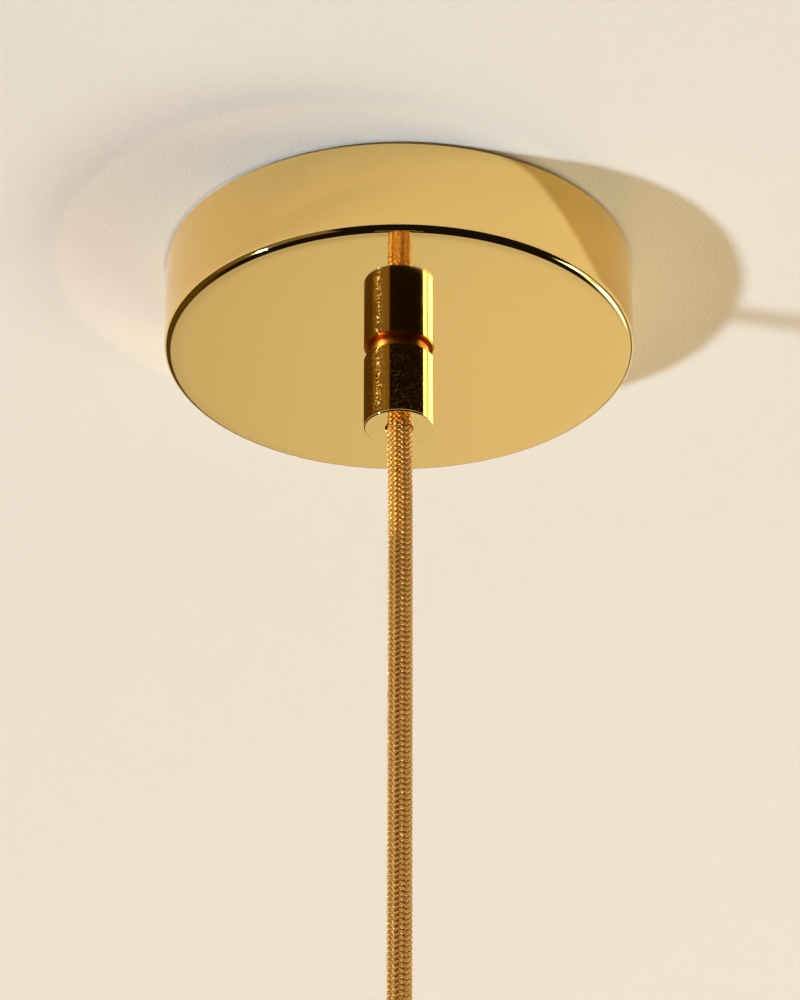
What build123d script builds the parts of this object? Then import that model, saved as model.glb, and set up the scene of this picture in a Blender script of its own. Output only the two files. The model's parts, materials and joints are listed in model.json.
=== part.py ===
"""Pendant light: a polished brass ceiling canopy, a cord grip, a braided cord and a lampholder.

Sizes are in millimetres. The origin is on the ceiling, on the canopy's axis, and +Z points up,
so the whole light hangs below the origin. +Y points away from the viewer.
"""
import os
from math import cos, pi, radians, sin, sqrt, tan

from build123d import *

# Canopy, the cup that covers the ceiling outlet
CANOPY_D = 120.0
CANOPY_H = 25.0
CANOPY_WALL = 1.5
CANOPY_EDGE_R = 1.8
CEILING_GAP = 0.6

# Ceiling strap, a steel strip with its two ends turned down
STRAP_T = 2.0
STRAP_W = 24.0
STRAP_BEND_R = 2.0
STRAP_CORNER_R = 3.0
EAR_W = 14.0
EAR_DROP = 14.0
SLOT_INSET = 14.7
SLOT_L = 14.0
SLOT_W = 4.6
CABLE_HOLE_D = 18.0

# Grub screws that clamp the canopy on the ears of the strap, and their pads inside the canopy
GRUB_D = 4.0
GRUB_L = 5.0
GRUB_SINK = 0.2
GRUB_DEPTH = 9.0
GRUB_TIP = 0.6
HEX_KEY = 2.0
HEX_KEY_DEPTH = 2.0
PAD_D = 10.0
PAD_T = 2.5

# Fits
THREAD_FIT = 0.05
HOLE_FIT = 0.2
SEAT_GAP = 0.3
CLAMP_GAP = 0.1
OVERCUT = 1.0

# Braided cord and its three cores
CORD_D = 6.4
CORD_DROP = 166.0
CORD_UPPER = 45.0
KNUCKLE_GAP = 0.9
SHEATH_OUT = 1.0
CORE_D = 2.2
CORE_APART = 0.14
ARC_SHARE = 0.45

# Cord grip under the canopy; the collar of the lampholder has the same outside
GRIP_D = 18.0
GRIP_L = 20.0
GRIP_EDGE = 0.4
NECK_STEP = 1.25
NECK_H = 1.75
CORD_HOLE_GAP = 0.3
MOUTH_R = 0.2
STEM_WALL = 2.5
STEM_THREAD_L = 8.0
STUB_WALL = 1.5
STUB_L = 7.0
THREAD_END = 0.5

# Collet in the grip
BUSH_WALL = 2.15
BUSH_STRAIGHT = 4.5
BUSH_TAPER = 2.5
BUSH_SLIT = 0.8
SEAT_SLOPE = 0.58

# Washers and locknuts on the grip's and the collar's studs
WASHER_RIM = 4.0
WASHER_T = 1.0
NUT_RIM = 2.0
NUT_T = 3.0
NUT_CHAMFER = 0.6

# Terminal block under the strap
BLOCK_X = 22.0
BLOCK_PITCH = 13.0
BLOCK_WAY_W = 8.4
BLOCK_L = 19.0
BLOCK_H = 11.0
BLOCK_WEB_L = 8.0
BLOCK_WEB_T = 4.0
BLOCK_ROUND = 1.2
INSERT_D = 6.0
INSERT_BORE_D = 3.2
INSERT_L = 16.0
INSERT_DROP = 5.2
TOWER_D = 6.4
CLAMP_SPREAD = 9.5
FERRULE_D = 2.2
FERRULE_IN = 7.0
FERRULE_OUT = 2.0
M3_D = 3.0
M3_HEAD_D = 5.0
M3_HEAD_H = 1.8
DRIVE_SLOT_W = 0.8
DRIVE_SLOT_DEPTH = 0.8

# Earth connection on the strap
EARTH_X = -17.0
M4_D = 4.0
M4_HEAD_D = 8.0
M4_HEAD_H = 2.4
LUG_T = 0.8
LUG_RING_D = 8.4
LUG_BARREL_D = 3.4
LUG_BARREL_L = 7.0
LUG_REACH = 12.0

# Wiring inside the canopy, with the angle round the cord where each core leaves it
LIVE_ANGLE = -30.0
NEUTRAL_ANGLE = 210.0
EARTH_ANGLE = 90.0
WIRE_TOP = 7.5
LIVE_LOOP = 24.0
NEUTRAL_LOOP = 32.0
NEUTRAL_TOP = 10.5
EARTH_LOOP = 24.0

# Lampholder, with the angles where the cores leave the lower end of the cord
LAMP_LIVE_ANGLE = -60.0
LAMP_NEUTRAL_ANGLE = 60.0
LAMP_EARTH_ANGLE = 180.0
COVER_D = 42.0
COVER_WALL = 1.2
COVER_TOP = 1.5
COLLAR_STUB_L = 9.0
BRACKET_T = 1.5
BRACKET_BEND_R = 1.0
BRACKET_W = 14.0
BRACKET_LENGTH = 30.0
FOOT_EDGE = 3.5
WIRE_ROOM = 13.0
TERMINAL_H = 5.0
TERMINAL_SIDE = 6.0
TERMINAL_Y = 11.0
CORE_SIDE_GAP = 1.3
CORE_EDGE_R = 0.8
CORE_FLOOR = 8.0
CHAMBER_H = 6.5
CORE_LIP = 2.0
COVER_LIP = 2.0
SHELL_D = 28.0
SHELL_WALL = 0.7
SHELL_SEAT = 1.5
SHELL_L = 24.0
CONTACT_W = 7.0
CONTACT_T = 0.6
CONTACT_BEND_R = 1.2
CONTACT_EDGE = 0.9
CONTACT_ROOT = 3.0
CONTACT_REACH = 9.0
CONTACT_DROP = 5.0

# Sizes that follow from the ones above
CORE_RING_R = (CORE_D + CORE_APART) / sqrt(3)
CORD_HOLE_D = CORD_D + 2 * CORD_HOLE_GAP
STEM_BORE_D = CORD_D + 2 * SEAT_GAP
STEM_THREAD_D = STEM_BORE_D + 2 * STEM_WALL
STUB_D = STEM_BORE_D + 2 * STUB_WALL
NECK_D = GRIP_D - 2 * NECK_STEP
BUSH_D = CORD_D + 2 * (THREAD_FIT + BUSH_WALL)
WASHER_D = STUB_D + 2 * WASHER_RIM
NUT_AF = STUB_D + 2 * NUT_RIM
CORE_OUTER_D = COVER_D - 2 * (COVER_WALL + CORE_SIDE_GAP)
CHAMBER_D = SHELL_D - 2 * SHELL_SEAT
CORE_SCREW_X = CHAMBER_D / 2 - M3_HEAD_D / 2 - HOLE_FIT - SEAT_GAP
CONTACT_SCREW_Y = CHAMBER_D / 2 - CONTACT_EDGE - CONTACT_ROOT

# Places worked out from the sizes above, from the ceiling down
CANOPY_R = CANOPY_D / 2
FACE_Z = -(CEILING_GAP + CANOPY_H)
FLOOR_Z = FACE_Z + CANOPY_WALL
PAD_X = CANOPY_R - CANOPY_WALL - PAD_T
GRUB_TIP_X = CANOPY_R - GRUB_SINK - GRUB_L
EAR_X = GRUB_TIP_X - CLAMP_GAP
SLOT_X = EAR_X - SLOT_INSET
STUB_TOP_Z = FACE_Z + STUB_L
SHEATH_Z = STUB_TOP_Z + SHEATH_OUT
SLEEVE_TOP_Z = FACE_Z - NECK_H
MOUTH_Z = SLEEVE_TOP_Z - GRIP_L
STEM_END_Z = SLEEVE_TOP_Z - STEM_THREAD_L
BUSH_TOP_Z = STEM_END_Z - SEAT_GAP
INSERT_Z = -STRAP_T - INSERT_DROP
UPPER_END_Z = MOUTH_Z - CORD_UPPER
COLLAR_TOP_Z = MOUTH_Z - CORD_DROP
COLLAR_FOOT_Z = COLLAR_TOP_Z - GRIP_L
COVER_Z = COLLAR_FOOT_Z - NECK_H
HOLDER_WASHER_Z = COVER_Z - COVER_TOP
BRACKET_Z = HOLDER_WASHER_Z - WASHER_T
HOLDER_NUT_Z = BRACKET_Z - BRACKET_T
COLLAR_END_Z = COVER_Z - COLLAR_STUB_L
CORD_END_Z = COLLAR_END_Z - SHEATH_OUT
CORE_Z = COLLAR_END_Z - WIRE_ROOM - TERMINAL_H
CORE_FLOOR_Z = CORE_Z - CORE_FLOOR
SHELL_TOP_Z = CORE_FLOOR_Z - CHAMBER_H
CORE_END_Z = SHELL_TOP_Z - SHELL_L - CORE_LIP
COVER_END_Z = CORE_END_Z - COVER_LIP


def rounded_face(plane, outline, rounds):
    """A face on an upright plane from (across, height) points; rounds lists (point, radius)."""
    face = plane * make_face(Polyline(*outline, close=True))
    for number, radius in rounds:
        corner = plane.from_local_coords(outline[number])
        face = fillet(face.vertices().sort_by_distance(corner)[0], radius)
    return face


def turned(outline, rounds=()):
    """A piece turned about the Z axis from (radius, height) points; rounds lists (point, radius)."""
    return revolve(rounded_face(Plane.XZ, outline, rounds), Axis.Z)


def bent_strip(plane, outline, bends, width):
    """A strip bent to an outline on an upright plane; bends lists (point, radius)."""
    return extrude(rounded_face(plane, outline, bends), width / 2, both=True)


def both_sides(half):
    """A piece and its mirror image in the plane x = 0, as one."""
    return half + mirror(half, Plane.YZ)


def ring(inner_d, outer_d, top, height):
    """A plain ring whose upper face is at the height top."""
    return turned([
        (inner_d / 2, top),
        (outer_d / 2, top),
        (outer_d / 2, top - height),
        (inner_d / 2, top - height),
    ])


def rod(diameter, start, end):
    """A round bar between two points."""
    axis = Vector(*end) - Vector(*start)
    return extrude(Plane(origin=start, z_dir=axis) * Circle(diameter / 2), axis.length)


def block(low, high):
    """A rectangular block between two corners."""
    size = [b - a for a, b in zip(low, high)]
    middle = [(a + b) / 2 for a, b in zip(low, high)]
    return Pos(*middle) * Box(*size)


def locknut(top):
    """A thin hexagon nut with turned-down corners, its upper face at top."""
    foot = top - NUT_T
    flats = RegularPolygon(NUT_AF / 2, 6, major_radius=False)
    blank = rod(NUT_AF / cos(radians(30)), (0, 0, foot), (0, 0, top))
    blank = chamfer(blank.edges().filter_by(GeomType.CIRCLE), NUT_CHAMFER)
    nut = blank & extrude(Pos(0, 0, foot) * flats, NUT_T)
    return nut - rod(STUB_D + 2 * THREAD_FIT, (0, 0, foot), (0, 0, top))


def screw(diameter, head_d, head_h, head_face, tip):
    """A slotted screw: head_face is the point under its head, and tip the end of its shank."""
    along = (Vector(*tip) - Vector(*head_face)).normalized()
    head_end = Vector(*head_face) - along * head_h
    body = rod(diameter, head_face, tip) + rod(head_d, tuple(head_end), head_face)
    slot = Box(head_d, DRIVE_SLOT_W, 2 * DRIVE_SLOT_DEPTH)
    return body - Plane(origin=head_end, z_dir=along) * slot


def grub(diameter, outer, tip):
    """A hexagon-socket grub screw from its outer end to its tip."""
    along = (Vector(*tip) - Vector(*outer)).normalized()
    length = (Vector(*tip) - Vector(*outer)).length
    mouth = Plane(origin=outer, z_dir=along)
    body = extrude(mouth * Circle(diameter / 2), length)
    rims = body.edges().filter_by(GeomType.CIRCLE)
    body = chamfer(rims.sort_by_distance(Vector(*tip))[0], GRUB_TIP)
    return body - extrude(mouth * RegularPolygon(HEX_KEY / 2, 6, major_radius=False), HEX_KEY_DEPTH)


def wire(name, points):
    """One insulated core along a route of straight runs and arcs as large as the runs allow."""
    corners = [Vector(*p) for p in points]
    runs = [b - a for a, b in zip(corners, corners[1:])]
    radii = []
    for before, after in zip(runs, runs[1:]):
        half_turn = radians(before.get_angle(after)) / 2
        radii.append(ARC_SHARE * min(before.length, after.length) / tan(half_turn))
    path = FilletPolyline(*points, radius=radii)
    section = Plane(origin=path @ 0, z_dir=path % 0) * Circle(CORE_D / 2)
    tube = sweep(section, path=path)
    true_volume = pi * CORE_D**2 / 4 * path.length
    shown = ", ".join(f"{r:.1f}" for r in radii)
    print(f"{name}: length {path.length:.1f}, radii {shown}, volume ratio {tube.volume / true_volume:.4f}")
    return tube


def core_start(angle, height):
    """Where one of the cord's three cores leaves the sheath."""
    return (CORE_RING_R * cos(radians(angle)), CORE_RING_R * sin(radians(angle)), height)


def canopy_cup():
    """The spun cup, with a brazed and tapped pad inside its wall at each end of the strap."""
    hole_r = STUB_D / 2 + HOLE_FIT
    inner_r = CANOPY_R - CANOPY_WALL
    cup = turned(
        [
            (CANOPY_R, -CEILING_GAP),
            (CANOPY_R, FACE_Z),
            (hole_r, FACE_Z),
            (hole_r, FLOOR_Z),
            (inner_r, FLOOR_Z),
            (inner_r, -CEILING_GAP),
        ],
        rounds=[(1, CANOPY_EDGE_R)],
    )
    in_wall = inner_r + CANOPY_WALL / 2
    z = -GRUB_DEPTH
    for side in (-1, 1):
        cup += rod(PAD_D, (side * PAD_X, 0, z), (side * in_wall, 0, z))
        inside = side * (PAD_X - OVERCUT)
        outside = side * (CANOPY_R + OVERCUT)
        cup -= rod(GRUB_D + 2 * THREAD_FIT, (inside, 0, z), (outside, 0, z))
    return cup


def canopy_screws():
    """The two grub screws that press on the ears of the strap."""
    outer_x = CANOPY_R - GRUB_SINK
    z = -GRUB_DEPTH
    return [grub(GRUB_D, (side * outer_x, 0, z), (side * GRUB_TIP_X, 0, z)) for side in (-1, 1)]


def ceiling_strap():
    """A flat strip on the ceiling with its ends bent down into narrower ears."""
    inner_x = EAR_X - STRAP_T
    outline = [
        (0, 0),
        (EAR_X, 0),
        (EAR_X, -EAR_DROP),
        (inner_x, -EAR_DROP),
        (inner_x, -STRAP_T),
        (0, -STRAP_T),
    ]
    bends = [(1, STRAP_BEND_R + STRAP_T), (4, STRAP_BEND_R)]
    half = bent_strip(Plane.XZ, outline, bends, STRAP_W)
    ear_end = -EAR_DROP - OVERCUT
    shoulder_z = -STRAP_T - STRAP_BEND_R
    for edge in (-1, 1):
        beside = sorted((edge * EAR_W / 2, edge * STRAP_W))
        low = (inner_x - STRAP_BEND_R, beside[0], ear_end)
        half -= block(low, (EAR_X + OVERCUT, beside[1], shoulder_z))
    half = fillet(half.edges().filter_by(Axis.X).group_by(Axis.Z)[0], STRAP_CORNER_R)
    half -= extrude(Pos(SLOT_X, 0, -STRAP_T) * SlotOverall(SLOT_L, SLOT_W), STRAP_T)
    strap = both_sides(half)
    strap -= rod(CABLE_HOLE_D, (0, 0, -STRAP_T), (0, 0, 0))
    strap -= rod(M4_D + 2 * THREAD_FIT, (EARTH_X, 0, -STRAP_T), (EARTH_X, 0, 0))
    strap -= rod(M3_D + 2 * THREAD_FIT, (BLOCK_X, 0, -STRAP_T), (BLOCK_X, 0, 0))
    return strap


def block_ways():
    """The X places of the two ways of the terminal block."""
    return [BLOCK_X - BLOCK_PITCH / 2, BLOCK_X + BLOCK_PITCH / 2]


def clamp_places():
    """The (x, y) places of the four clamping screws."""
    return [(x, side * CLAMP_SPREAD / 2) for x in block_ways() for side in (-1, 1)]


def terminal_block():
    """Two nylon barrels joined by a web, with a tower round each clamping screw."""
    top = -STRAP_T
    bottom = top - BLOCK_H
    first, second = block_ways()
    body = block((first, -BLOCK_WEB_L / 2, top - BLOCK_WEB_T), (second, BLOCK_WEB_L / 2, top))
    half = BLOCK_WAY_W / 2
    for x in block_ways():
        barrel = block((x - half, -BLOCK_L / 2, INSERT_Z - half), (x + half, BLOCK_L / 2, top))
        body += fillet(barrel.edges().filter_by(Axis.Y), BLOCK_ROUND)
    for x, y in clamp_places():
        body += rod(TOWER_D, (x, y, bottom), (x, y, INSERT_Z))
    for x in block_ways():
        body -= rod(INSERT_D + 2 * THREAD_FIT, (x, -BLOCK_L, INSERT_Z), (x, BLOCK_L, INSERT_Z))
    for x, y in clamp_places():
        body -= rod(M3_HEAD_D + 2 * HOLE_FIT, (x, y, bottom), (x, y, INSERT_Z))
    body -= rod(M3_HEAD_D + 2 * HOLE_FIT, (BLOCK_X, 0, bottom), (BLOCK_X, 0, top - BLOCK_WEB_T))
    return body - rod(M3_D + 2 * HOLE_FIT, (BLOCK_X, 0, top - BLOCK_WEB_T), (BLOCK_X, 0, top))


def terminal_inserts():
    """A brass tube in each way, tapped for its two clamping screws."""
    tubes = []
    for x in block_ways():
        tube = rod(INSERT_D, (x, -INSERT_L / 2, INSERT_Z), (x, INSERT_L / 2, INSERT_Z))
        tube -= rod(INSERT_BORE_D, (x, -INSERT_L / 2, INSERT_Z), (x, INSERT_L / 2, INSERT_Z))
        for side in (-1, 1):
            y = side * CLAMP_SPREAD / 2
            tube -= rod(M3_D + 2 * THREAD_FIT, (x, y, INSERT_Z - INSERT_D), (x, y, INSERT_Z))
        tubes.append(tube)
    return tubes


def terminal_screws():
    """The four clamping screws, driven from below."""
    head_z = INSERT_Z - INSERT_D / 2 - SEAT_GAP
    tip_z = INSERT_Z - FERRULE_D / 2 - THREAD_FIT
    return [screw(M3_D, M3_HEAD_D, M3_HEAD_H, (x, y, head_z), (x, y, tip_z)) for x, y in clamp_places()]


def block_screw():
    """The screw that holds the terminal block to the strap."""
    under_web = -STRAP_T - BLOCK_WEB_T
    return screw(M3_D, M3_HEAD_D, M3_HEAD_H, (BLOCK_X, 0, under_web), (BLOCK_X, 0, -CLAMP_GAP))


def ferrule_mouth():
    """The Y place where a ferrule stands out of the terminal block."""
    return -BLOCK_L / 2 - FERRULE_OUT


def wire_ferrules():
    """Crimped ends of the live and neutral cores, clamped in the block."""
    inner = -BLOCK_L / 2 + FERRULE_IN
    return [rod(FERRULE_D, (x, ferrule_mouth(), INSERT_Z), (x, inner, INSERT_Z)) for x in block_ways()]


def earth_lug():
    """A ring tongue under the earth screw, with its crimp barrel towards the back."""
    under = -STRAP_T
    barrel_z = under - LUG_BARREL_D / 2
    lug = rod(LUG_RING_D, (EARTH_X, 0, under - LUG_T), (EARTH_X, 0, under))
    half = LUG_BARREL_D / 2
    lug += block((EARTH_X - half, 0, under - LUG_T), (EARTH_X + half, LUG_REACH - LUG_BARREL_L / 2, under))
    lug += rod(LUG_BARREL_D, (EARTH_X, LUG_REACH - LUG_BARREL_L, barrel_z), (EARTH_X, LUG_REACH, barrel_z))
    return lug - rod(M4_D + 2 * HOLE_FIT, (EARTH_X, 0, under - LUG_T), (EARTH_X, 0, under))


def earth_screw():
    """The earth screw, driven from below into the strap."""
    under_lug = -STRAP_T - LUG_T
    return screw(M4_D, M4_HEAD_D, M4_HEAD_H, (EARTH_X, 0, under_lug), (EARTH_X, 0, -CLAMP_GAP))


def live_wire():
    """From the sheath round to the front of the block's first way."""
    start = core_start(LIVE_ANGLE, SHEATH_Z)
    x = block_ways()[0]
    return wire("live_wire", [
        start,
        (start[0], start[1], -WIRE_TOP),
        (start[0], -LIVE_LOOP, -WIRE_TOP),
        (x, -LIVE_LOOP, INSERT_Z),
        (x, ferrule_mouth() - SEAT_GAP, INSERT_Z),
    ])


def neutral_wire():
    """From the sheath, outside the live wire, to the block's second way."""
    start = core_start(NEUTRAL_ANGLE, SHEATH_Z)
    x = block_ways()[1]
    return wire("neutral_wire", [
        start,
        (start[0], start[1], -NEUTRAL_TOP),
        (start[0], -NEUTRAL_LOOP, -NEUTRAL_TOP),
        (x, -NEUTRAL_LOOP, INSERT_Z),
        (x, ferrule_mouth() - SEAT_GAP, INSERT_Z),
    ])


def earth_wire():
    """From the sheath round the back to the earth lug."""
    start = core_start(EARTH_ANGLE, SHEATH_Z)
    lug_z = -STRAP_T - LUG_BARREL_D / 2
    return wire("earth_wire", [
        start,
        (start[0], start[1], -WIRE_TOP),
        (start[0], EARTH_LOOP, -WIRE_TOP),
        (EARTH_X, EARTH_LOOP, lug_z),
        (EARTH_X, LUG_REACH + SEAT_GAP, lug_z),
    ])


def grip_stem():
    """The hollow stem: a stud through the canopy, the visible neck, and the sleeve's thread."""
    bore = STEM_BORE_D / 2
    stud = STUB_D / 2
    thread = STEM_THREAD_D / 2
    return turned([
        (bore, STUB_TOP_Z),
        (stud - THREAD_END, STUB_TOP_Z),
        (stud, STUB_TOP_Z - THREAD_END),
        (stud, FACE_Z),
        (NECK_D / 2, FACE_Z),
        (NECK_D / 2, SLEEVE_TOP_Z + CLAMP_GAP),
        (thread, SLEEVE_TOP_Z + CLAMP_GAP),
        (thread, STEM_END_Z + THREAD_END),
        (thread - THREAD_END, STEM_END_Z),
        (bore, STEM_END_Z),
    ])


def seat_levels():
    """The heights where the collet's seat in the sleeve begins and ends, and its upper radius."""
    top_r = BUSH_D / 2 + SEAT_GAP
    top = BUSH_TOP_Z - BUSH_STRAIGHT
    return top, top - (top_r - CORD_HOLE_D / 2) / SEAT_SLOPE, top_r


def grip_sleeve():
    """The plain cylinder that screws on the stem; inside, a cone closes the collet on the cord."""
    thread = STEM_THREAD_D / 2 + THREAD_FIT
    hole = CORD_HOLE_D / 2
    seat_top, seat_end, seat_r = seat_levels()
    outer = GRIP_D / 2
    return turned(
        [
            (thread, SLEEVE_TOP_Z),
            (outer, SLEEVE_TOP_Z),
            (outer, MOUTH_Z),
            (hole, MOUTH_Z),
            (hole, seat_end),
            (seat_r, seat_top),
            (seat_r, BUSH_TOP_Z - SEAT_GAP),
            (thread, BUSH_TOP_Z - SEAT_GAP),
        ],
        rounds=[(1, GRIP_EDGE), (2, GRIP_EDGE), (3, MOUTH_R)],
    )


def grip_bush():
    """The nylon collet, slit from below so that its tapered end can close."""
    bore = CORD_D / 2 + THREAD_FIT
    taper_r = BUSH_D / 2 - SEAT_SLOPE * BUSH_TAPER
    straight_end = BUSH_TOP_Z - BUSH_STRAIGHT
    end = straight_end - BUSH_TAPER
    bush = turned([
        (bore, BUSH_TOP_Z),
        (BUSH_D / 2, BUSH_TOP_Z),
        (BUSH_D / 2, straight_end),
        (taper_r, end),
        (bore, end),
    ])
    half = BUSH_SLIT / 2
    slit_top = BUSH_TOP_Z - BUSH_STRAIGHT / 2
    bush -= block((-BUSH_D, -half, end - OVERCUT), (BUSH_D, half, slit_top))
    return bush - block((-half, -BUSH_D, end - OVERCUT), (half, BUSH_D, slit_top))


def cord(top, bottom):
    """A straight length of the braided cord."""
    return rod(CORD_D, (0, 0, top), (0, 0, bottom))


def holder_collar():
    """The turned collar on the lampholder, with a stud below and a tapped hole for its pinch screw."""
    stud = STUB_D / 2
    outer = GRIP_D / 2
    hole = CORD_HOLE_D / 2
    collar = turned(
        [
            (hole, COLLAR_TOP_Z),
            (outer, COLLAR_TOP_Z),
            (outer, COLLAR_FOOT_Z),
            (NECK_D / 2, COLLAR_FOOT_Z),
            (NECK_D / 2, COVER_Z),
            (stud, COVER_Z),
            (stud, COLLAR_END_Z + THREAD_END),
            (stud - THREAD_END, COLLAR_END_Z),
            (hole, COLLAR_END_Z),
        ],
        rounds=[(0, MOUTH_R), (1, GRIP_EDGE), (2, GRIP_EDGE)],
    )
    middle = (COLLAR_TOP_Z + COLLAR_FOOT_Z) / 2
    return collar - rod(GRUB_D + 2 * THREAD_FIT, (0, 0, middle), (0, GRIP_D, middle))


def collar_screw():
    """The pinch screw at the back of the collar."""
    middle = (COLLAR_TOP_Z + COLLAR_FOOT_Z) / 2
    return grub(GRUB_D, (0, GRIP_D / 2 - GRUB_SINK, middle), (0, CORD_D / 2 + CLAMP_GAP, middle))


def holder_cover():
    """The spun cover of the lampholder, open below."""
    outer = COVER_D / 2
    inner = outer - COVER_WALL
    hole = STUB_D / 2 + HOLE_FIT
    return turned(
        [
            (hole, COVER_Z),
            (outer, COVER_Z),
            (outer, COVER_END_Z),
            (inner, COVER_END_Z),
            (inner, HOLDER_WASHER_Z),
            (hole, HOLDER_WASHER_Z),
        ],
        rounds=[(1, CANOPY_EDGE_R)],
    )


def holder_bracket():
    """A steel saddle under the cover: its turned-in feet carry the core."""
    end_x = BRACKET_LENGTH / 2
    inner_x = end_x - BRACKET_T
    toe_x = CORE_SCREW_X - FOOT_EDGE
    foot_top = CORE_Z + BRACKET_T
    outline = [
        (0, BRACKET_Z),
        (end_x, BRACKET_Z),
        (end_x, CORE_Z),
        (toe_x, CORE_Z),
        (toe_x, foot_top),
        (inner_x, foot_top),
        (inner_x, HOLDER_NUT_Z),
        (0, HOLDER_NUT_Z),
    ]
    outside = BRACKET_BEND_R + BRACKET_T
    bends = [(1, outside), (2, outside), (5, BRACKET_BEND_R), (6, BRACKET_BEND_R)]
    half = bent_strip(Plane.XZ, outline, bends, BRACKET_W)
    half -= rod(M3_D + 2 * THREAD_FIT, (CORE_SCREW_X, 0, CORE_Z), (CORE_SCREW_X, 0, foot_top))
    saddle = both_sides(half)
    saddle -= rod(STUB_D + 2 * HOLE_FIT, (0, 0, HOLDER_NUT_Z), (0, 0, BRACKET_Z))
    z = lamp_earth_z()
    return saddle - rod(M3_D + 2 * THREAD_FIT, (-end_x, 0, z), (-inner_x, 0, z))


def lamp_earth_z():
    """The height of the earth screw in the side of the saddle."""
    return COLLAR_END_Z - WIRE_ROOM / 2


def lamp_earth_screw():
    """The earth screw, driven from inside the saddle."""
    inside = BRACKET_T - BRACKET_LENGTH / 2
    z = lamp_earth_z()
    return screw(M3_D, M3_HEAD_D, M3_HEAD_H, (inside, 0, z), (inside - BRACKET_T, 0, z))


def holder_core():
    """The moulded core: a floor, a chamber for the centre contact, and a well for the screw shell."""
    outer = CORE_OUTER_D / 2
    well = SHELL_D / 2 + THREAD_FIT
    core = turned(
        [
            (0, CORE_Z),
            (outer, CORE_Z),
            (outer, CORE_END_Z),
            (well, CORE_END_Z),
            (well, SHELL_TOP_Z),
            (CHAMBER_D / 2, SHELL_TOP_Z),
            (CHAMBER_D / 2, CORE_FLOOR_Z),
            (0, CORE_FLOOR_Z),
        ],
        rounds=[(1, CORE_EDGE_R), (2, CORE_EDGE_R), (3, CORE_EDGE_R)],
    )
    for side in (-1, 1):
        x = side * CORE_SCREW_X
        core -= rod(M3_D + 2 * HOLE_FIT, (x, 0, CORE_FLOOR_Z), (x, 0, CORE_Z))
        core -= rod(M3_HEAD_D + 2 * HOLE_FIT, (x, 0, CORE_FLOOR_Z), (x, 0, CORE_FLOOR_Z + M3_HEAD_H))
    return core - rod(M3_D + 2 * THREAD_FIT, (0, CONTACT_SCREW_Y, CORE_FLOOR_Z), (0, CONTACT_SCREW_Y, CORE_Z))


def core_screws():
    """The two screws that hold the core up against the saddle's feet."""
    head_z = CORE_FLOOR_Z + M3_HEAD_H
    tip_z = CORE_Z + BRACKET_T
    places = [side * CORE_SCREW_X for side in (-1, 1)]
    return [screw(M3_D, M3_HEAD_D, M3_HEAD_H, (x, 0, head_z), (x, 0, tip_z)) for x in places]


def screw_shell():
    """The brass shell of the lamp's screw cap."""
    return ring(SHELL_D - 2 * SHELL_WALL, SHELL_D, SHELL_TOP_Z, SHELL_L)


def centre_contact():
    """A bronze tongue screwed to the core's floor, its free end bent down to the middle."""
    root_end = CONTACT_SCREW_Y + CONTACT_ROOT
    bend = CONTACT_SCREW_Y - CONTACT_ROOT
    tip = bend - CONTACT_REACH
    top = CORE_FLOOR_Z
    outline = [
        (root_end, top),
        (bend, top),
        (tip, top - CONTACT_DROP),
        (tip, top - CONTACT_DROP - CONTACT_T),
        (bend, top - CONTACT_T),
        (root_end, top - CONTACT_T),
    ]
    bends = [(1, CONTACT_BEND_R + CONTACT_T), (4, CONTACT_BEND_R)]
    tongue = bent_strip(Plane.YZ, outline, bends, CONTACT_W)
    y = CONTACT_SCREW_Y
    return tongue - rod(M3_D + 2 * HOLE_FIT, (0, y, top - CONTACT_T), (0, y, top))


def contact_screw():
    """The screw through the root of the centre contact."""
    y = CONTACT_SCREW_Y
    under = CORE_FLOOR_Z - CONTACT_T
    return screw(M3_D, M3_HEAD_D, M3_HEAD_H, (0, y, under), (0, y, CORE_Z - SEAT_GAP))


def core_terminals():
    """Brass posts on the core that take the live and neutral cores from above."""
    half = TERMINAL_SIDE / 2
    posts = []
    for side in (-1, 1):
        y = side * TERMINAL_Y
        middle = CORE_Z + TERMINAL_H / 2
        top = CORE_Z + TERMINAL_H
        post = block((-half, y - half, CORE_Z), (half, y + half, top))
        post -= rod(CORE_D + 2 * HOLE_FIT, (0, y, middle), (0, y, top))
        posts.append(post - rod(M3_D + 2 * THREAD_FIT, (0, y, middle), (TERMINAL_SIDE, y, middle)))
    return posts


def core_terminal_screws():
    """A clamping screw in the side of each post."""
    middle = CORE_Z + TERMINAL_H / 2
    face = TERMINAL_SIDE / 2
    tip = CORE_D / 2 + CLAMP_GAP
    places = [side * TERMINAL_Y for side in (-1, 1)]
    return [screw(M3_D, M3_HEAD_D, M3_HEAD_H, (face, y, middle), (tip, y, middle)) for y in places]


def lamp_wire(name, angle, end):
    """A core from the lower end of the cord, down and out to its terminal."""
    start = core_start(angle, CORD_END_Z)
    drop = (start[2] - end[2]) / 4
    return wire(name, [
        start,
        (start[0], start[1], start[2] - drop),
        (end[0], end[1], end[2] + drop),
        end,
    ])


def lamp_earth_wire():
    """The earth core, down and across to the head of the earth screw."""
    start = core_start(LAMP_EARTH_ANGLE, CORD_END_Z)
    z = lamp_earth_z()
    head_x = BRACKET_T - BRACKET_LENGTH / 2 + M3_HEAD_H
    return wire("lamp_earth_wire", [
        start,
        (start[0], start[1], z),
        (head_x + SEAT_GAP, 0, z),
    ])


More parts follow.
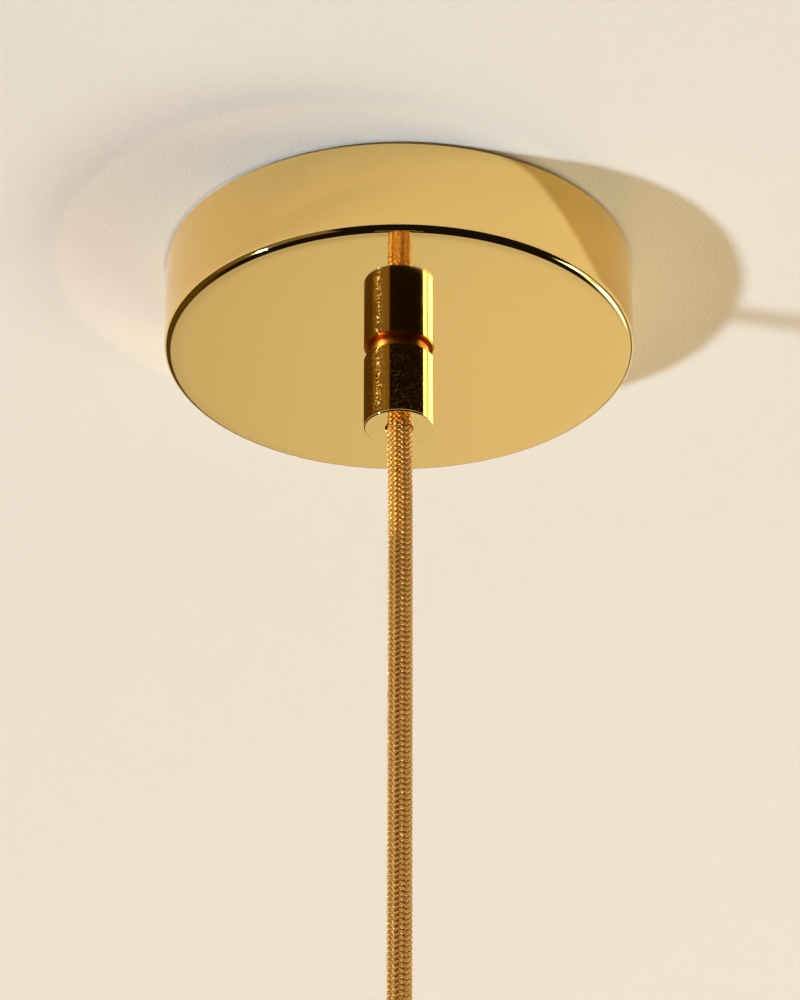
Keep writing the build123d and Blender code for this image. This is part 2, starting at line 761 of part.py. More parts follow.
terminal_top = CORE_Z + TERMINAL_H + SEAT_GAP
pieces = {
    "ceiling_strap": ceiling_strap(),
    "terminal_block": terminal_block(),
    "terminal_inserts": terminal_inserts(),
    "terminal_screws": terminal_screws(),
    "block_screw": block_screw(),
    "wire_ferrules": wire_ferrules(),
    "earth_lug": earth_lug(),
    "earth_screw": earth_screw(),
    "canopy_cup": canopy_cup(),
    "canopy_screws": canopy_screws(),
    "grip_stem": grip_stem(),
    "grip_washer": ring(STUB_D + 2 * HOLE_FIT, WASHER_D, FLOOR_Z + WASHER_T, WASHER_T),
    "grip_locknut": locknut(FLOOR_Z + WASHER_T + NUT_T),
    "cord_tail": cord(SHEATH_Z, STEM_END_Z),
    "live_wire": live_wire(),
    "neutral_wire": neutral_wire(),
    "earth_wire": earth_wire(),
    "grip_bush": grip_bush(),
    "cord_stub": cord(BUSH_TOP_Z, MOUTH_Z + KNUCKLE_GAP),
    "grip_sleeve": grip_sleeve(),
    "cord_upper": cord(MOUTH_Z, UPPER_END_Z),
    "cord_lower": cord(UPPER_END_Z - KNUCKLE_GAP, CORD_END_Z),
    "holder_collar": holder_collar(),
    "collar_screw": collar_screw(),
    "holder_cover": holder_cover(),
    "holder_washer": ring(STUB_D + 2 * HOLE_FIT, WASHER_D, HOLDER_WASHER_Z, WASHER_T),
    "holder_bracket": holder_bracket(),
    "holder_locknut": locknut(HOLDER_NUT_Z),
    "holder_core": holder_core(),
    "core_screws": core_screws(),
    "screw_shell": screw_shell(),
    "centre_contact": centre_contact(),
    "contact_screw": contact_screw(),
    "core_terminals": core_terminals(),
    "core_terminal_screws": core_terminal_screws(),
    "lamp_live_wire": lamp_wire("lamp_live_wire", LAMP_LIVE_ANGLE, (0, -TERMINAL_Y, terminal_top)),
    "lamp_neutral_wire": lamp_wire("lamp_neutral_wire", LAMP_NEUTRAL_ANGLE, (0, TERMINAL_Y, terminal_top)),
    "lamp_earth_wire": lamp_earth_wire(),
    "lamp_earth_screw": lamp_earth_screw(),
}

os.makedirs("parts", exist_ok=True)
for name, piece in pieces.items():
    solid = Compound(children=piece) if isinstance(piece, list) else piece
    export_step(solid, f"parts/{name}.step")
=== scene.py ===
"""Looks of a brass pendant light: finishes, braided cord, core wires, threads and the ceiling it hangs from.

Lengths are in metres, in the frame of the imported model: the origin is on the ceiling, on the canopy's axis,
+Z points up and -Y points towards the viewer.
"""

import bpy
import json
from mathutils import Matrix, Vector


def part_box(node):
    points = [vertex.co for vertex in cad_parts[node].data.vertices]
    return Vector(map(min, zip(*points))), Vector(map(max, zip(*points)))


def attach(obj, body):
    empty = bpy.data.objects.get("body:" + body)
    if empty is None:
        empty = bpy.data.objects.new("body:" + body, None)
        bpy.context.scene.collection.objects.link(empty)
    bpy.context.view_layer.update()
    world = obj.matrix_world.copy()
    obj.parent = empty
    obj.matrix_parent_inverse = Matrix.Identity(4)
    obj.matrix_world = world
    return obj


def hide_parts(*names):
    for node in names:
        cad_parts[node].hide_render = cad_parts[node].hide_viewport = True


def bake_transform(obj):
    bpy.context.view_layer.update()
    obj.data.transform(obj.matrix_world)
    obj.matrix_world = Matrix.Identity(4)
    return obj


bl_info = {
    "name": "Brass Pendant Light",
    "version": (1, 0, 0),
    "blender": (4, 5, 0),
    "location": "View3D > Sidebar > Pendant",
    "description": "Dresses a brass pendant light: polished brass, braided cord, wiring and its ceiling",
    "category": "Object",
}

import json
from math import atan2, cos, hypot, pi, radians, sin, tau

import bpy
from mathutils import Vector

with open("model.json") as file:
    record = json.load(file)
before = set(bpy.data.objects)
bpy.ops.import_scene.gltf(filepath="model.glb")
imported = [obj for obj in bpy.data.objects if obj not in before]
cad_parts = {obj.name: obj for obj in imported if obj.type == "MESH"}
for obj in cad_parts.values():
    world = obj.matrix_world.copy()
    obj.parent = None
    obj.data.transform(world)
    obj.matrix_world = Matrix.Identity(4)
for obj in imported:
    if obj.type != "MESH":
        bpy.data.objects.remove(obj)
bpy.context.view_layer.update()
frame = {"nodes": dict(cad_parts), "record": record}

MM = 0.001

# Heights on the cord, from the frame; its two lengths of braid meet a little above the lower knuckle
TAIL_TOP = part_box("cord_tail")[1].z
TAIL_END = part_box("cord_tail")[0].z
CORD_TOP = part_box("cord_stub")[1].z
CORD_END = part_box("cord_lower")[0].z
GRIP_KNUCKLE = (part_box("cord_stub")[0].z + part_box("cord_upper")[1].z) / 2
CORD_KNUCKLE = (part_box("cord_upper")[0].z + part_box("cord_lower")[1].z) / 2
JOIN_RISE = 13.5 * MM
CORD_JOIN = CORD_KNUCKLE + JOIN_RISE
CORD_DIAMETER = 2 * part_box("cord_upper")[1].x

# The three cores in the canopy: name, finish, and route from the sheath to the terminal, in millimetres
CORES = (
    ("live", "brown_pvc", (
        (1.17, -0.676, -17.6), (1.17, -0.676, -7.5), (1.17, -24, -7.5),
        (15.5, -24, -7.2), (15.5, -11.8, -7.2),
    )),
    ("neutral", "blue_pvc", (
        (-1.17, -0.676, -17.6), (-1.17, -0.676, -10.5), (-1.17, -32, -10.5),
        (28.5, -32, -7.2), (28.5, -11.8, -7.2),
    )),
    ("earth", "earth_pvc", (
        (0, 1.351, -17.6), (0, 1.351, -7.5), (0, 24, -7.5),
        (-17, 24, -3.7), (-17, 12.3, -3.7),
    )),
)


def linear(hex_colour):
    """Turn an sRGB hex colour into linear red, green, blue and alpha."""
    channels = [int(hex_colour[i:i + 2], 16) / 255 for i in (1, 3, 5)]
    return [c / 12.92 if c <= 0.04045 else ((c + 0.055) / 1.055) ** 2.4 for c in channels] + [1.0]


def colour_property(name, description, hex_colour):
    """A colour setting, with its default as an sRGB hex value."""
    return bpy.props.FloatVectorProperty(
        name=name, description=description, subtype="COLOR", size=4, min=0, max=1, default=linear(hex_colour)
    )


def length_property(name, description, metres):
    """A length setting."""
    return bpy.props.FloatProperty(
        name=name, description=description, unit="LENGTH", precision=5, min=0, default=metres
    )


def power_property(name, description, power):
    """A setting for a light's power."""
    return bpy.props.FloatProperty(name=name, description=description, min=0, default=power)


class PENDANT_PG_brass(bpy.types.PropertyGroup):
    """Sizes and colours of the brass pieces."""

    polished: colour_property("Polished brass", "Mirror-polished canopy, grip and lampholder", "#F2CF82")
    plain: colour_property("Plain brass", "Turned and pressed brass inside", "#D9B878")
    haze: bpy.props.FloatProperty(
        name="Polishing haze", description="Roughness that the polishing mop leaves",
        subtype="FACTOR", min=0, max=1, default=0.045
    )
    # This colour is darker than the plain brass as painted shade of the narrow neck between the canopy and
    # the grip
    faced: colour_property("Faced brass", "Neck and inside of the turned pieces, darker with age", "#A2652F")
    scuff_size: length_property("Scuffs", "Size of the fine scuffs on the turned brass", 0.4 * MM)
    facing_pitch: length_property("Facing marks", "Spacing of the tool marks on unpolished faces", 0.3 * MM)
    stud_pitch: length_property("Stud thread pitch", "Pitch of the thread on the grip's stem", 1.0 * MM)
    cap_pitch: length_property("Lamp thread pitch", "Pitch of the rolled thread for the lamp cap", 3.63 * MM)


class PENDANT_PG_cord(bpy.types.PropertyGroup):
    """Sizes and colours of the braided cord and its cores."""

    diameter: length_property("Cord diameter", "Outside of the braid", CORD_DIAMETER)
    lead: length_property("Braid lead", "Height of one turn of a ribbon of yarn", 14.55 * MM)
    ribbons: bpy.props.IntProperty(
        name="Ribbons each way", description="Ribbons of yarn that wind the same way", min=4, default=10
    )
    yarn: colour_property("Gold yarn", "Metallised yarn of the braid", "#F2B34A")
    core_diameter: length_property("Core diameter", "Outside of one insulated core", 2.2 * MM)
    live: colour_property("Live core", "Brown insulation", "#5A2F1A")
    neutral: colour_property("Neutral core", "Blue insulation", "#1F6FB8")
    earth_green: colour_property("Earth core", "Green insulation", "#3C8A3A")
    earth_yellow: colour_property("Earth stripe", "Yellow stripe on the earth core", "#E6C829")


class PENDANT_PG_inside(bpy.types.PropertyGroup):
    """Colours of the plain pieces inside the canopy and the lampholder."""

    zinc: colour_property("Zinc plate", "Bright zinc on the steel strap, saddle and screws", "#C6C9CC")
    tin: colour_property("Tin plate", "Tinned copper ferrules and lug", "#D2CDC2")
    bronze: colour_property("Spring bronze", "Rolled strip of the centre contact", "#C78F57")
    nylon: colour_property("Nylon", "Moulded terminal block and collet", "#EDE9DE")
    thermoset: colour_property("Thermoset", "Moulded core of the lampholder", "#F0EBDF")


class PENDANT_PG_stage(bpy.types.PropertyGroup):
    """Ceiling, light and backdrop."""

    plaster: colour_property("Plaster", "Painted ceiling", "#EEEAE4")
    backdrop: colour_property("Backdrop", "Plain backdrop behind the ceiling", "#EFE6D6")
    grain: length_property("Plaster grain", "Size of the roller's bumps in the paint", 0.9 * MM)
    key: power_property("Key light", "Strength of the low key light", 2.44)
    key_colour: colour_property("Key colour", "Slightly cool colour of the key light", "#D9EAFF")
    fill: power_property("Fill light", "Power of the soft fill light", 38.2)
    fill_colour: colour_property("Fill colour", "Warm colour of the fill light", "#FFCC80")
    wall_bounce: power_property("Wall bounce", "Power of the light from the canopy's wall on the ceiling", 15)
    face_bounce: power_property("Face bounce", "Power of the light from the canopy's face on the grip", 200)
    bounce_colour: colour_property("Bounce colour", "Key light after a reflection in the brass", "#FFDCA6")
    key_width: bpy.props.FloatProperty(
        name="Key width", description="Width of the key light, seen from the canopy",
        subtype="ANGLE", default=radians(4.5)
    )


class PENDANT_PG_settings(bpy.types.PropertyGroup):
    """All settings of the pendant light."""

    brass: bpy.props.PointerProperty(type=PENDANT_PG_brass)
    cord: bpy.props.PointerProperty(type=PENDANT_PG_cord)
    inside: bpy.props.PointerProperty(type=PENDANT_PG_inside)
    stage: bpy.props.PointerProperty(type=PENDANT_PG_stage)


def settings():
    """The pendant's settings in this scene."""
    return bpy.context.scene.pendant


# Materials

def set_inputs(tree, node, inputs):
    """Give a node's inputs their values, or link them to outputs of other nodes."""
    for name, value in inputs.items():
        if isinstance(value, bpy.types.NodeSocket):
            tree.links.new(value, node.inputs[name])
        else:
            node.inputs[name].default_value = value


def add_node(tree, kind, inputs=None, **options):
    """Add one node with its options; inputs are values, or outputs of other nodes to link."""
    node = tree.nodes.new(kind)
    for name, value in options.items():
        setattr(node, name, value)
    set_inputs(tree, node, inputs or {})
    return node


def new_material(name, inputs):
    """A material with one shader; returns it with its node tree, its shader and the place on the piece."""
    material = bpy.data.materials.new(name)
    material.use_nodes = True
    tree = material.node_tree
    shader = tree.nodes["Principled BSDF"]
    set_inputs(tree, shader, inputs)
    return material, tree, shader, add_node(tree, "ShaderNodeTexCoord").outputs["Object"]


def mottled(tree, place, size, colour, shade):
    """A colour with patches of one size in a darker shade, which is given for red, green and blue."""
    patches = add_node(tree, "ShaderNodeTexNoise", {"Vector": place, "Scale": 1 / size, "Detail": 3.0})
    dark = [c * k for c, k in zip(colour[:3], shade)] + [1.0]
    mix = add_node(tree, "ShaderNodeMix", {0: patches.outputs["Fac"], 6: colour, 7: dark}, data_type="RGBA")
    return mix.outputs[2]


def waves_round(tree, count):
    """Waves between -1 and 1 round a tube, by its UV map."""
    run = add_node(tree, "ShaderNodeTexCoord").outputs["UV"]
    across = add_node(tree, "ShaderNodeSeparateXYZ", {"Vector": run})
    turn = add_node(tree, "ShaderNodeMath", {0: across.outputs["Y"], 1: count * tau}, operation="MULTIPLY")
    return add_node(tree, "ShaderNodeMath", {0: turn.outputs[0]}, operation="SINE").outputs[0]


def mopped_brass(name, swirl, least, most):
    """Brass mopped to a mirror; also returns its nodes and its roughness, uneven in swirls of one size."""
    brass = settings().brass
    material, tree, shader, place = new_material(name, {"Base Color": brass.polished, "Metallic": 1.0})
    haze = add_node(tree, "ShaderNodeTexNoise", {"Vector": place, "Scale": 1 / swirl, "Detail": 4.0})
    blur = add_node(tree, "ShaderNodeMapRange", {
        "Value": haze.outputs["Fac"], "From Min": 0.3, "From Max": 0.7,
        "To Min": least * brass.haze, "To Max": most * brass.haze,
    })
    set_inputs(tree, shader, {"Roughness": blur.outputs["Result"]})
    return material, tree, shader, place, blur.outputs["Result"]


def polished_brass():
    """Spun brass, mopped to a mirror: clean reflections with a faint uneven haze."""
    return mopped_brass("Polished spun brass", swirl=9 * MM, least=0.6, most=1.4)[0]


def turned_brass():
    """Turned brass, mopped to a mirror, with fine scuffs from handling that catch the key light as sparks."""
    material, tree, shader, place, blur = mopped_brass(
        "Polished turned brass", swirl=5 * MM, least=0.7, most=1.2
    )
    grains = add_node(tree, "ShaderNodeTexNoise", {
        "Vector": place, "Scale": 1 / settings().brass.scuff_size, "Detail": 2.0,
    })
    scuffs = add_node(tree, "ShaderNodeMapRange", {
        "Value": grains.outputs["Fac"], "From Min": 0.57, "From Max": 0.63, "To Min": blur, "To Max": 0.19,
    })
    set_inputs(tree, shader, {"Roughness": scuffs.outputs["Result"]})
    return material


def faced_brass():
    """Brass faced with a turning tool and not polished: fine rings scatter the light to a soft satin glow;
    its dark colour is painted shade for the recessed neck.
    """
    brass = settings().brass
    # The dark faced colour is painted shade for the recessed neck
    material, tree, shader, place = new_material("Faced brass", {
        "Base Color": brass.faced, "Metallic": 1.0, "Roughness": 0.36,
    })
    # One ring to each turn of the wave texture, whose own period is tau / 20 of a metre at scale 1
    rings = add_node(tree, "ShaderNodeTexWave", {
        "Vector": place, "Scale": tau / 20 / brass.facing_pitch, "Distortion": 0.4, "Detail": 1.0,
    }, wave_type="RINGS", rings_direction="Z")
    relief = add_node(tree, "ShaderNodeBump", {
        "Height": rings.outputs["Fac"], "Strength": 0.3, "Distance": 0.03 * MM,
    })
    set_inputs(tree, shader, {"Normal": relief.outputs["Normal"]})
    return material


def plain_brass():
    """Free-cutting brass as it leaves the lathe or press: satin, with fine scratches and a little tarnish."""
    return worked_metal("Plain turned brass", settings().brass.plain, roughness=0.26, grain=0.8 * MM)


def zinc_steel():
    """Steel with bright zinc plate: pale and satin, with a faint spangle."""
    return worked_metal("Bright zinc-plated steel", settings().inside.zinc, roughness=0.32, grain=1.6 * MM)


def tinned_copper():
    """Copper with a tin coat: soft grey shine, rubbed by the crimp."""
    return worked_metal("Tinned copper", settings().inside.tin, roughness=0.38, grain=0.7 * MM)


def spring_bronze():
    """Rolled phosphor bronze strip: reddish, with fine rolling lines."""
    return worked_metal("Rolled spring bronze", settings().inside.bronze, roughness=0.3, grain=0.5 * MM)


def worked_metal(name, colour, roughness, grain):
    """A metal that was machined or plated and not polished, with marks of the grain's size and stains."""
    material, tree, shader, place = new_material(name, {"Base Color": colour, "Metallic": 1.0})
    spangle = add_node(tree, "ShaderNodeTexNoise", {"Vector": place, "Scale": 1 / grain, "Detail": 5.0})
    blur = add_node(tree, "ShaderNodeMapRange", {
        "Value": spangle.outputs["Fac"], "From Min": 0.25, "From Max": 0.75,
        "To Min": 0.7 * roughness, "To Max": 1.35 * roughness,
    })
    relief = add_node(tree, "ShaderNodeBump", {
        "Height": spangle.outputs["Fac"], "Strength": 0.15, "Distance": 0.02 * MM,
    })
    set_inputs(tree, shader, {
        "Base Color": mottled(tree, place, 12 * MM, colour, shade=(0.72, 0.72, 0.72)),
        "Roughness": blur.outputs["Result"], "Normal": relief.outputs["Normal"],
    })
    return material


def moulded(name, colour, roughness, grain, depth):
    """A moulded or extruded plastic: even colour, slight mottling, and the fine skin of the mould."""
    material, tree, shader, place = new_material(name, {"IOR": 1.5, "Roughness": roughness})
    skin = add_node(tree, "ShaderNodeTexNoise", {"Vector": place, "Scale": 1 / grain, "Detail": 2.0})
    relief = add_node(tree, "ShaderNodeBump", {
        "Height": skin.outputs["Fac"], "Strength": 0.3, "Distance": depth,
    })
    set_inputs(tree, shader, {
        "Base Color": mottled(tree, place, 6 * MM, colour, shade=(0.86, 0.86, 0.86)),
        "Normal": relief.outputs["Normal"],
    })
    return material


def white_nylon():
    """Natural nylon: milky, slightly translucent, with a satin moulded skin."""
    nylon = settings().inside.nylon
    material = moulded("Moulded nylon", nylon, roughness=0.42, grain=0.4 * MM, depth=0.02 * MM)
    tree = material.node_tree
    set_inputs(tree, tree.nodes["Principled BSDF"], {
        "Subsurface Weight": 0.25, "Subsurface Scale": 1.5 * MM,
    })
    return material


def core_thermoset():
    """Pressed thermoset: hard, glossy and ivory white, like glazed ware."""
    ivory = settings().inside.thermoset
    return moulded("Pressed white thermoset", ivory, roughness=0.18, grain=2.5 * MM, depth=0.03 * MM)


# Skin of the extruded cores
PVC_SKIN = {"roughness": 0.35, "grain": 0.5 * MM, "depth": 0.01 * MM}


def brown_pvc():
    """Extruded PVC insulation, brown: soft sheen with drawn lines too fine to see."""
    return moulded("Brown PVC", settings().cord.live, **PVC_SKIN)


def blue_pvc():
    """Extruded PVC insulation, blue."""
    return moulded("Blue PVC", settings().cord.neutral, **PVC_SKIN)


def earth_pvc():
    """Extruded PVC insulation, green with a yellow stripe along two sides of the core."""
    cord = settings().cord
    material = moulded("Green and yellow PVC", cord.earth_green, **PVC_SKIN)
    tree = material.node_tree
    stripe = add_node(tree, "ShaderNodeMapRange", {
        "Value": waves_round(tree, count=2), "From Min": 0.2, "From Max": 0.3,
    })
    tint = add_node(tree, "ShaderNodeMix", {
        0: stripe.outputs["Result"], 6: cord.earth_green, 7: cord.earth_yellow,
    }, data_type="RGBA")
    set_inputs(tree, tree.nodes["Principled BSDF"], {"Base Color": tint.outputs[2]})
    return material


# Threads round one ribbon of yarn, and the size and shade of the flecks in it
YARN_THREADS = 9
YARN_FLECK = 0.8 * MM
YARN_SHADE = (0.72, 0.62, 0.45)


def gold_braid():
    """Metallised yarn laid in flat ribbons: silky highlights across the threads, pale sheen at the edges."""
    material, tree, shader, place = new_material("Gold yarn braid", {
        "Metallic": 0.65, "Roughness": 0.26, "Anisotropic": 0.5, "Anisotropic Rotation": 0.25,
        "Coat Weight": 1.0, "Coat Roughness": 0.2, "Coat IOR": 1.4,
        "Sheen Weight": 1.0, "Sheen Roughness": 0.3, "Sheen Tint": linear("#FFE8B8"),
    })
    along = add_node(tree, "ShaderNodeTangent", direction_type="UV_MAP", uv_map="run_and_round")
    relief = add_node(tree, "ShaderNodeBump", {
        "Height": waves_round(tree, YARN_THREADS), "Strength": 0.35, "Distance": 0.05 * MM,
    })
    set_inputs(tree, shader, {
        "Base Color": mottled(tree, place, YARN_FLECK, settings().cord.yarn, YARN_SHADE),
        "Normal": relief.outputs["Normal"], "Tangent": along.outputs["Tangent"],
    })
    return material


def painted_plaster():
    """Ceiling paint rolled on plaster: matt, warm white, with the roller's fine bumps; clear from above."""
    stage = settings().stage
    material, tree, shader, place = new_material("Rolled ceiling paint", {
        "Base Color": stage.plaster, "Roughness": 0.85,
    })
    bumps = add_node(tree, "ShaderNodeTexNoise", {"Vector": place, "Scale": 1 / stage.grain, "Detail": 3.0})
    relief = add_node(tree, "ShaderNodeBump", {
        "Height": bumps.outputs["Fac"], "Strength": 0.7, "Distance": 0.25 * MM,
    })
    set_inputs(tree, shader, {"Normal": relief.outputs["Normal"]})
    clear = add_node(tree, "ShaderNodeBsdfTransparent")
    behind = add_node(tree, "ShaderNodeNewGeometry").outputs["Backfacing"]
    sides = add_node(tree, "ShaderNodeMixShader", {
        0: behind, 1: shader.outputs["BSDF"], 2: clear.outputs["BSDF"],
    })
    set_inputs(tree, tree.nodes["Material Output"], {"Surface": sides.outputs["Shader"]})
    return material


FINISHES = {make.__name__: make for make in (
    polished_brass, turned_brass, faced_brass, plain_brass, zinc_steel, tinned_copper, spring_bronze,
    white_nylon, core_thermoset, gold_braid, brown_pvc, blue_pvc, earth_pvc,
)}
made_finishes = {}


def finish(slot):
    """The finish of a slot, made when it is first asked for."""
    if slot not in made_finishes:
        made_finishes[slot] = FINISHES[slot]()
    return made_finishes[slot]


def dress(*nodes):
    """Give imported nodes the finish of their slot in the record."""
    slots = {part["node"]: part["material_slot"] for part in frame["record"]["subparts"]}
    for node in nodes:
        frame["nodes"][node].material_slots[0].material = finish(slots[node])


# Modelling

NEAR = 0.01 * MM
DOUBLED = 0.002 * MM
SMOOTH_ANGLE = 32
ROUND_SEGMENTS = 10
BAR_SIDES = 64
ROUTE_STEPS = 24
NEARLY_ALONG = 0.1


def deselect():
    """Leave nothing selected."""
    bpy.ops.object.select_all(action="DESELECT")


def take(piece):
    """Select one piece alone and make it the active one."""
    deselect()
    piece.select_set(True)
    bpy.context.view_layer.objects.active = piece


def tidy_normals(piece, smooth=SMOOTH_ANGLE):
    """Merge doubled points, point all faces outwards and shade edges under this many degrees smooth."""
    take(piece)
    bpy.ops.object.mode_set(mode="EDIT")
    bpy.ops.mesh.select_all(action="SELECT")
    bpy.ops.mesh.remove_doubles(threshold=DOUBLED)
    bpy.ops.mesh.normals_make_consistent(inside=False)
    bpy.ops.object.mode_set(mode="OBJECT")
    bpy.ops.object.shade_smooth_by_angle(angle=radians(smooth))


def turned_piece(name, outline, steps, rounds=()):
    """Spin a closed outline of (radius, height) points; rounds has (radius, height, size) of round edges."""
    deselect()
    bpy.ops.mesh.primitive_circle_add(vertices=len(outline), radius=outline[0][0])
    piece = bpy.context.active_object
    piece.name = name
    for point, (radius, height) in zip(piece.data.vertices, outline):
        point.co = (radius, 0, height)
    bpy.ops.object.mode_set(mode="EDIT")
    bpy.ops.mesh.select_all(action="SELECT")
    bpy.ops.mesh.spin(steps=steps, angle=tau, center=(0, 0, 0), axis=(0, 0, 1))
    bpy.ops.mesh.select_all(action="SELECT")
    bpy.ops.mesh.remove_doubles(threshold=DOUBLED)
    bpy.ops.mesh.select_mode(type="EDGE")
    for radius, height, size in rounds:
        bpy.ops.mesh.select_all(action="DESELECT")
        bpy.ops.object.mode_set(mode="OBJECT")
        for edge in piece.data.edges:
            ends = [piece.data.vertices[i].co for i in edge.vertices]
            edge.select = all(
                abs(hypot(p.x, p.y) - radius) < NEAR and abs(p.z - height) < NEAR for p in ends
            )
        bpy.ops.object.mode_set(mode="EDIT")
        bpy.ops.mesh.bevel(offset=size, segments=ROUND_SEGMENTS, affect="EDGES")
    bpy.ops.mesh.select_mode(type="VERT")
    bpy.ops.object.mode_set(mode="OBJECT")
    tidy_normals(piece)
    return piece


def bar(piece, operation, radius, start, end):
    """Join a round bar to a piece, or cut one out of it."""
    start, end = Vector(start), Vector(end)
    turn = (end - start).to_track_quat("Z", "Y").to_euler()
    deselect()
    bpy.ops.mesh.primitive_cylinder_add(
        vertices=BAR_SIDES, radius=radius, depth=(end - start).length,
        location=(start + end) / 2, rotation=turn
    )
    tool = bpy.context.active_object
    take(piece)
    modifier = piece.modifiers.new("bar", "BOOLEAN")
    modifier.operation = operation
    modifier.object = tool
    bpy.ops.object.modifier_apply(modifier=modifier.name)
    bpy.data.objects.remove(tool)


def finish_faces(piece, slot, is_there):
    """Give another finish to the faces whose (radius, height) of the middle passes the test."""
    piece.data.materials.append(finish(slot))
    for face in piece.data.polygons:
        if is_there(hypot(face.center.x, face.center.y), face.center.z):
            face.material_index = len(piece.data.materials) - 1


def wind_thread(piece, radius, top, end, pitch, depth, crest):
    """Press a thread into the part of a turned piece that has this radius; crest shapes the ridges."""
    for point in piece.data.vertices:
        if abs(hypot(point.co.x, point.co.y) - radius) > NEAR or not end < point.co.z < top:
            continue
        phase = (point.co.z / pitch - atan2(point.co.y, point.co.x) / tau) % 1
        run_out = min(1, (top - point.co.z) / pitch, (point.co.z - end) / pitch)
        drop = depth * run_out * crest(phase)
        point.co.x *= 1 - drop / radius
        point.co.y *= 1 - drop / radius


def levels(radius, start, end, spacing):
    """Outline points down or up one cylinder, close enough together to carry a thread."""
    count = max(2, round(abs(end - start) / spacing))
    return [(radius, start + (end - start) * i / count) for i in range(count + 1)]


def route_line(points):
    """Points along the smooth NURBS line with a route's points as its control points."""
    curve = bpy.data.curves.new("route", "CURVE")
    curve.dimensions = "3D"
    curve.resolution_u = ROUTE_STEPS
    spline = curve.splines.new("NURBS")
    spline.points.add(len(points) - 1)
    for control, place in zip(spline.points, points):
        control.co = (*place, 1)
    spline.order_u = 3
    spline.use_endpoint_u = True
    holder = bpy.data.objects.new("route", curve)
    mesh = bpy.data.meshes.new_from_object(holder)
    line = [point.co.copy() for point in mesh.vertices]
    bpy.data.objects.remove(holder)
    bpy.data.curves.remove(curve)
    bpy.data.meshes.remove(mesh)
    return line


def line_length(line):
    """Length of a line of points."""
    return sum((b - a).length for a, b in zip(line, line[1:]))


def frames_along(line, spacing, first_run=0):
    """Evenly spaced (run, centre, front, right) on a line; front starts to the viewer and never twists."""
    count = round(line_length(line) / spacing)
    ends = [0.0]
    for a, b in zip(line, line[1:]):
        ends.append(ends[-1] + (b - a).length)
    frames = []
    front = Vector((0, -1, 0))
    part = 0
    for i in range(count + 1):
        run = ends[-1] * i / count
        while part < len(line) - 2 and run > ends[part + 1]:
            part += 1
        ahead = line[part + 1] - line[part]
        centre = line[part] + ahead * ((run - ends[part]) / ahead.length)
        ahead.normalize()
        front = front - ahead * front.dot(ahead)
        if front.length < NEARLY_ALONG:
            front = ahead.orthogonal()
        front.normalize()
        frames.append((first_run + run, centre, front, front.cross(ahead)))
    return frames


def tube_rings(frames, radius, sides):
    """Round rings of points along a line of frames."""
    turns = [tau * k / sides for k in range(sides)]
    return [[c + (f * cos(t) + r * sin(t)) * radius for t in turns] for _, c, f, r in frames]


def tubes_mesh(name, tubes, smooth=SMOOTH_ANGLE):
    """One mesh of closed tubes, each a list of rings; its UV map runs along (U, mm) and round (V) each."""
    points = []
    faces = []
    map_points = []
    for rings in tubes:
        sides = len(rings[0])
        start = len(points)
        for ring in rings:
            points.extend(ring)
        run = 0.0
        for i in range(len(rings) - 1):
            further = run + (rings[i + 1][0] - rings[i][0]).length / MM
            for k in range(sides):
                a = start + i * sides + k
                b = start + i * sides + (k + 1) % sides
                faces.append((a, b, b + sides, a + sides))
                low, high = k / sides, (k + 1) / sides
                map_points.extend((run, low, run, high, further, high, further, low))
            run = further
        first_cap = tuple(range(start + sides - 1, start - 1, -1))
        last_cap = tuple(range(len(points) - sides, len(points)))
        for cap in (first_cap, last_cap):
            faces.append(cap)
            map_points.extend((0.0, 0.0) * sides)
    mesh = bpy.data.meshes.new(name)
    mesh.from_pydata(points, [], faces)
    mesh.uv_layers.new(name="run_and_round").data.foreach_set("uv", map_points)
    piece = bpy.data.objects.new(name, mesh)
    bpy.context.collection.objects.link(piece)
    tidy_normals(piece, smooth)
    return piece


# Braided cord

BRAID_LIFT = 0.42 * MM
RIBBON_HALF_WIDTH = 0.51 * MM
RIBBON_HALF_THICKNESS = 0.39 * MM
# Outline of a ribbon, in half widths across and half thicknesses outwards
RIBBON_SECTION = (
    (1, 0), (0.8, 0.6), (0.3, 0.95), (-0.3, 0.95), (-0.8, 0.6), (-1, 0), (-0.7, -0.8), (0.7, -0.8),
)
BRAID_SMOOTH_ANGLE = 75
STEPS_PER_WAVE = 10
RIGHT_WAY_ON_TOP = radians(18)
FILLER_RADIUS = 2.2 * MM
FILLER_SIDES = 20
FILLER_STEPS = 3
CORD_LEAN = 0.3 * MM
LEAN_END = 20 * MM


def ribbon_rings(frames, first_angle, way, cord):
    """Rings along one ribbon of the braid, which goes over two ribbons and under the next two."""
    waves = cord.ribbons / 2
    middle = cord.diameter / 2 - BRAID_LIFT - RIBBON_HALF_THICKNESS
    on_top = RIGHT_WAY_ON_TOP if way > 0 else RIGHT_WAY_ON_TOP - pi / waves
    centres = []
    outwards = []
    for run, centre, front, right in frames:
        angle = first_angle + way * tau * run / cord.lead
        wave = cos(waves * (angle - on_top))
        outward = front * cos(angle) + right * sin(angle)
        outwards.append(outward)
        centres.append(centre + outward * (middle + BRAID_LIFT * wave))
    rings = []
    for i, (centre, outward) in enumerate(zip(centres, outwards)):
        along = centres[min(i + 1, len(centres) - 1)] - centres[max(i - 1, 0)]
        sideways = along.cross(outward).normalized()
        lift = sideways.cross(along).normalized()
        across = sideways * RIBBON_HALF_WIDTH
        rings.append([centre + across * x + lift * (RIBBON_HALF_THICKNESS * y) for x, y in RIBBON_SECTION])
    return rings


